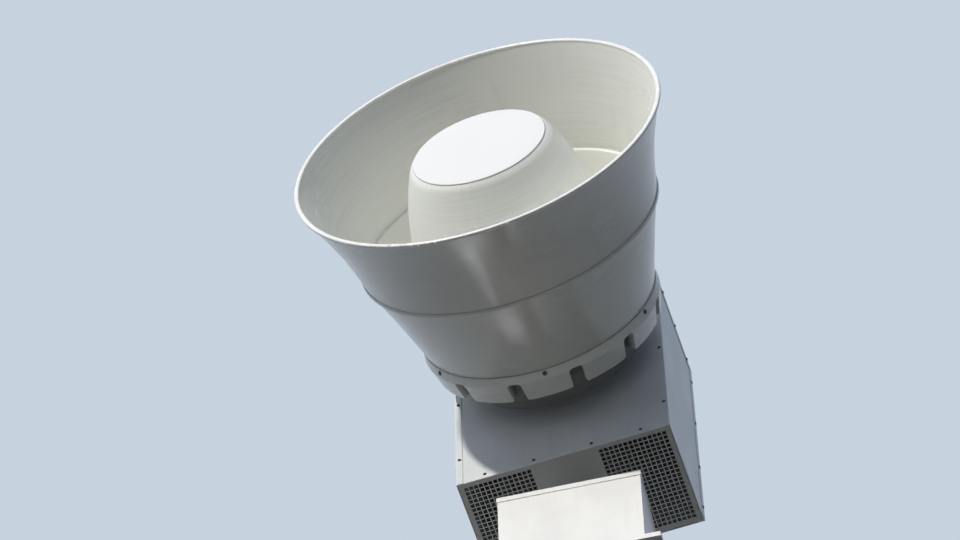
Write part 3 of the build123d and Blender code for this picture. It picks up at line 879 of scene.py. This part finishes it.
class SIREN_OT_fasteners(bpy.types.Operator):
    """Make the pan-head screws of the panels and the hexagon bolts of the base ring"""

    bl_idname = "siren.fasteners"
    bl_label = "Fasteners"

    # Across the housing from its middle, or up from its bottom
    return_across = 0.318
    return_heights = (0.138, 0.460, 0.782)
    lower_edge_across = (-0.241, -0.089, 0.089, 0.241)
    lower_edge_height = 0.020
    cover_across = (-0.29, -0.145, 0.0, 0.145, 0.29)
    cover_from_ends = 0.05
    cover_lip_middle = 0.010
    back_heights = (0.06, 0.29, 0.55, 0.80)

    first_bolt_angle = 31
    bolt_count = 6
    bolt_ahead = 0.176

    # Across the cabinet from its middle, or up from the base plate's top
    lid_across = (-0.17, 0.0, 0.17)
    lid_lip_middle = 0.011
    wall_across = 0.200
    wall_heights = (0.05, 0.165, 0.28)

    def execute(self, context):
        sizes = context.scene.siren_sizes
        zinc = zinc_plate("weathered_zinc_plate")
        pan = np.array([
            (0, -0.15), (1, -0.15), (1, 0.18), (0.93, 0.5), (0.76, 0.8), (0.52, 0.97),
            (0.42, 1.0), (0.36, 0.95), (0.33, 0.5), (0, 0.45),
        ]) * (sizes.screw_radius, sizes.screw_height)
        pan_hexagon = np.arange(len(pan)) >= 7
        hexagon = np.array([
            (0, -0.3), (1.35, -0.3), (1.35, 0.18), (1.3, 0.25), (1.0, 0.26), (1.0, 0.9),
            (0.9, 1.0), (0, 1.0),
        ]) * (sizes.bolt_radius, sizes.bolt_height)
        hexagon_rows = np.isin(np.arange(len(hexagon)), (4, 5))
        for name, body, (places, outward), outline, shape in (
            ("front_screws", HEAD, self.front_screws(), pan, pan_hexagon),
            ("cover_screws", HEAD, self.cover_screws(), pan, pan_hexagon),
            ("ring_bolts", HEAD, self.ring_bolts(), hexagon, hexagon_rows),
            ("cabinet_screws", BASE, self.cabinet_screws(), pan, pan_hexagon),
        ):
            points = head_points(places, outward, outline, shape)
            make_piece(name, points, head_quads(points), body, zinc)
        return {"FINISHED"}

    def front_screws(self):
        """Screws in the side panels' returns, and along the front panel's lower edge."""
        returns = [
            (side * self.return_across, FRONT, HOUSING_BOTTOM + z)
            for side in (-1, 1) for z in self.return_heights
        ]
        z = HOUSING_BOTTOM + self.lower_edge_height
        lower = [(x, FRONT + SHEET, z) for x in self.lower_edge_across]
        return facing([(returns + lower, (0, -1, 0))])

    def cover_screws(self):
        """Screws in the top cover's lip on all four sides, and in the back cover's lips."""
        lip = HOUSING_TOP - self.cover_lip_middle
        along = np.linspace(FRONT + self.cover_from_ends, BACK - self.cover_from_ends, 3)
        back_lip = BACK - self.cover_lip_middle
        sides = [(side, side * (HALF_WIDTH + SHEET)) for side in (1, -1)]
        return facing([
            ([(x, FRONT - SHEET, lip) for x in self.cover_across], (0, -1, 0)),
            ([(x, BACK + 2 * SHEET, lip) for x in self.cover_across], (0, 1, 0)),
            *(([(x, y, lip) for y in along], (side, 0, 0)) for side, x in sides),
            *(
                ([(x, back_lip, HOUSING_BOTTOM + z) for z in self.back_heights], (side, 0, 0))
                for side, x in sides
            ),
        ])

    def ring_bolts(self):
        """Six bolts round the band in front of the pockets, square to its taper."""
        between = 360 / self.bolt_count
        angle = np.radians(self.first_bolt_angle + between * np.arange(self.bolt_count))
        places = horn_place(skirt_radius(self.bolt_ahead), self.bolt_ahead, angle)
        band_radius, band_back = RING_SHOULDER[-1]
        slope = (band_radius - RING_FRONT_RADIUS) / (RING_FRONT - band_back)
        outward = np.stack([np.cos(angle), 0 * angle - slope, np.sin(angle)], axis=-1)
        return places, outward

    def cabinet_screws(self):
        """Screws in the lid's lip at the sides and back, and down the back wall, turned with the
        cabinet. The front has none in the photograph."""
        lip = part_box("bearing_housing")[0].z - self.lid_lip_middle
        wall = [
            (side * self.wall_across, CABINET_WALL, PLATE_HIGH.z + z)
            for side in (-1, 1) for z in self.wall_heights
        ]
        places, outward = facing([
            ([(x, CABINET_LIP, lip) for x in self.lid_across], (0, 1, 0)),
            ([(CABINET_LIP, y, lip) for y in self.lid_across], (1, 0, 0)),
            ([(-CABINET_LIP, y, lip) for y in self.lid_across], (-1, 0, 0)),
            (wall, (0, 1, 0)),
        ])
        spin = np.array(Matrix.Rotation(CABINET_TURN, 3, "Z"))
        return places @ spin.T, outward @ spin.T


class SIREN_OT_sheet_finishes(bpy.types.Operator):
    """Give the solids that keep their shape their powder coats and paints"""

    bl_idname = "siren.sheet_finishes"
    bl_label = "Housing and cabinet finishes"

    def execute(self, context):
        colours = palette(context)
        grime = colours.grime
        housing = powder_coat("housing_powder_coat", colours.housing, grime)
        cabinet = powder_coat("cabinet_powder_coat", colours.cabinet, grime, dirt_level=0.05)
        pedestal = powder_coat("pedestal_satin_paint", colours.pedestal, grime, 0.38)
        panels = ["front_panel", "left_side_panel", "right_side_panel", "top_cover", "back_cover"]
        dress(panels, housing)
        walls = [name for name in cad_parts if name.startswith("cabinet_")]
        dress([*walls, "base_plate"], cabinet)
        dress(["turntable", "pedestal_tube", "pedestal_flange", "collar"], pedestal)
        dress(["bearing_housing"], cast_paint("bearing_cast_enamel", colours.bearing, grime))
        dress(["throat_plate"], bpy.data.materials[BODY_GELCOAT])
        return {"FINISHED"}


class SIREN_OT_stage(bpy.types.Operator):
    """Set the pale floor, the soft light and the camera at the photograph's angle"""

    bl_idname = "siren.stage"
    bl_label = "Stage"

    sun_travel = (0.299, 0.924, -0.257)
    camera_place = (2.23659, -8.45341, -13.78569)
    # The camera's right, up and back
    camera_axes = (
        (0.9504065, 0.3106983, -0.0139290), (0.2784979, -0.8302625, 0.4828076),
        (0.1384428, -0.4627426, -0.8756157),
    )
    camera_lens = 213.08
    softbox_place = (-0.95, 7.1, -2.65)
    softbox_size = (3.4, 6.0)
    softbox_power = 185.0
    softbox_target = (0.0, FRONT - 0.5, HORN_Z - 0.5)
    fill_below = shaded(linear("8B8D7E"), 0.46)
    fill_above = shaded(linear("A4BBE0"), 0.54)
    floor_reach = 30.0
    floor_gap = 0.002
    floor_glow = 0.12

    def execute(self, context):
        scene = context.scene
        scene.view_settings.view_transform = "Standard"
        self.make_world(scene)
        self.make_floor(scene)
        self.make_lamps(scene)
        self.make_camera(scene)
        return {"FINISHED"}

    def make_world(self, scene):
        """Pale for the camera and reflections. What it sheds on the object is a soft fill: bluish
        from above and dimmer and warmer from below."""
        world = bpy.data.worlds.new("studio_world")
        world.use_nodes = True
        scene.world = world
        tree = world.node_tree
        tree.nodes.clear()
        way = add(tree, "TexCoord").node.outputs["Generated"]
        rise = add(tree, "SeparateXYZ", way).node.outputs[2]
        share = add(tree, "MapRange", rise, -0.6, 0.7)
        fill = add(tree, "Mix", share, self.fill_below, self.fill_above)
        path = add(tree, "LightPath").node.outputs
        seen = add(tree, "Math MAXIMUM", path["Is Camera Ray"], path["Is Transmission Ray"])
        seen = add(tree, "Math MAXIMUM", seen, path["Is Glossy Ray"])
        colour = add(tree, "Mix", seen, fill, linear("C7D2DF"))
        add(tree, "OutputWorld", add(tree, "Background", colour, 1.0))

    def make_floor(self, scene):
        """A pale matt floor just under the base plate. It is seen only from above, so that the
        photograph's low camera looks through it, and it bounces little light."""
        level = PLATE_LOW.z - self.floor_gap
        corners = np.array([(-1, -1, 0), (1, -1, 0), (1, 1, 0), (-1, 1, 0)]) * self.floor_reach
        mesh = bpy.data.meshes.new("studio_floor")
        mesh.from_pydata(corners + (0, 0, level), [], [(0, 1, 2, 3)])
        floor = bpy.data.objects.new("studio_floor", mesh)
        scene.collection.objects.link(floor)
        material, tree, place = new_finish("pale_matt_floor")
        mottle = noise(tree, place, 0.8)
        pale = add(tree, "Mix", mottle, linear("E9EBED"), linear("EEEFF1"))
        path = add(tree, "LightPath").node.outputs
        colour = add(tree, "Mix", path["Is Diffuse Ray"], pale, linear("5A564E"))
        matt = add(tree, "BsdfDiffuse", colour)
        lift = add(tree, "Math MULTIPLY", path["Is Camera Ray"], self.floor_glow)
        matt = add(tree, "AddShader", matt, add(tree, "Emission", pale, lift))
        clear = add(tree, "BsdfTransparent")
        behind = add(tree, "NewGeometry").node.outputs["Backfacing"]
        hidden = add(tree, "Math MAXIMUM", behind, path["Is Shadow Ray"])
        hidden = add(tree, "Math MAXIMUM", hidden, path["Is Glossy Ray"])
        add(tree, "OutputMaterial", add(tree, "MixShader", hidden, matt, clear))
        mesh.materials.append(material)

    def make_lamps(self, scene):
        """A key light from the horn's front, as the sun stands in the photograph, a broad soft
        fill from the same side that reaches into the horn, a weak fill from behind, and a long
        softbox low behind the horn, which sheds nothing on matt paint and shows as a streak in
        the gloss of the horn's underside."""
        for name, energy, spread, colour, travel in (
            ("key_light", 2.45, 1.6, "FFFAF2", self.sun_travel),
            ("mouth_fill", 1.9, 140, "F4F6FF", (0.60, 0.78, 0.10)),
            ("back_fill", 1.1, 60, "F7F8FF", (0.05, -0.76, -0.65)),
        ):
            lamp = self.make_lamp(scene, name, "SUN", energy, Vector(travel))
            lamp.data.angle = np.radians(spread)
            lamp.data.color = linear(colour)
            lamp.visible_glossy = name == "key_light"
        aim = Vector(self.softbox_target) - Vector(self.softbox_place)
        lamp = self.make_lamp(scene, "streak_softbox", "AREA", self.softbox_power, aim)
        lamp.data.shape = "RECTANGLE"
        lamp.data.size, lamp.data.size_y = self.softbox_size
        lamp.location = self.softbox_place
        lamp.visible_camera = False
        lamp.visible_diffuse = False

    def make_lamp(self, scene, name, kind, energy, travel):
        """A lamp whose light travels one way."""
        lamp = bpy.data.objects.new(name, bpy.data.lights.new(name, kind))
        lamp.data.energy = energy
        lamp.rotation_mode = "QUATERNION"
        lamp.rotation_quaternion = travel.to_track_quat("-Z", "Y")
        scene.collection.objects.link(lamp)
        return lamp

    def make_camera(self, scene):
        """The camera stands far below and in front, where the photographer stood."""
        data = bpy.data.cameras.new("photo_camera")
        data.sensor_fit = "HORIZONTAL"
        data.sensor_width = 36.0
        data.lens = self.camera_lens
        data.clip_start, data.clip_end = 0.5, 500.0
        camera = bpy.data.objects.new("photo_camera", data)
        turn = Matrix(self.camera_axes).transposed().to_4x4()
        camera.matrix_world = Matrix.Translation(self.camera_place) @ turn
        scene.collection.objects.link(camera)
        scene.camera = camera


class SIREN_PT_pieces(bpy.types.Panel):
    """Lists the pieces, their sizes and their colours"""

    bl_idname = "SIREN_PT_pieces"
    bl_label = "Warning siren head"
    bl_space_type = "VIEW_3D"
    bl_region_type = "UI"
    bl_category = "Siren"

    def draw(self, context):
        for group in (context.scene.siren_sizes, context.scene.siren_colours):
            box = self.layout.box()
            for name in group.__annotations__:
                box.prop(group, name)
        for operator in OPERATORS:
            self.layout.operator(operator.bl_idname)


OPERATORS = (
    SIREN_OT_front_bell,
    SIREN_OT_rear_bell,
    SIREN_OT_mouth_rim,
    SIREN_OT_base_ring,
    SIREN_OT_centre_body,
    SIREN_OT_vent_panel,
    SIREN_OT_fasteners,
    SIREN_OT_sheet_finishes,
    SIREN_OT_stage,
)
CLASSES = (SirenColours, SirenSizes, *OPERATORS, SIREN_PT_pieces)


def register():
    for cls in CLASSES:
        bpy.utils.register_class(cls)
    bpy.types.Scene.siren_colours = bpy.props.PointerProperty(type=SirenColours)
    bpy.types.Scene.siren_sizes = bpy.props.PointerProperty(type=SirenSizes)


def unregister():
    del bpy.types.Scene.siren_sizes
    del bpy.types.Scene.siren_colours
    for cls in reversed(CLASSES):
        bpy.utils.unregister_class(cls)


def main():
    register()
    for operator in OPERATORS:
        group, name = operator.bl_idname.split(".")
        result = getattr(getattr(bpy.ops, group), name)()
        if "FINISHED" not in result:
            raise RuntimeError(f"{operator.bl_idname} did not finish")


if __name__ == "__main__":
    main()
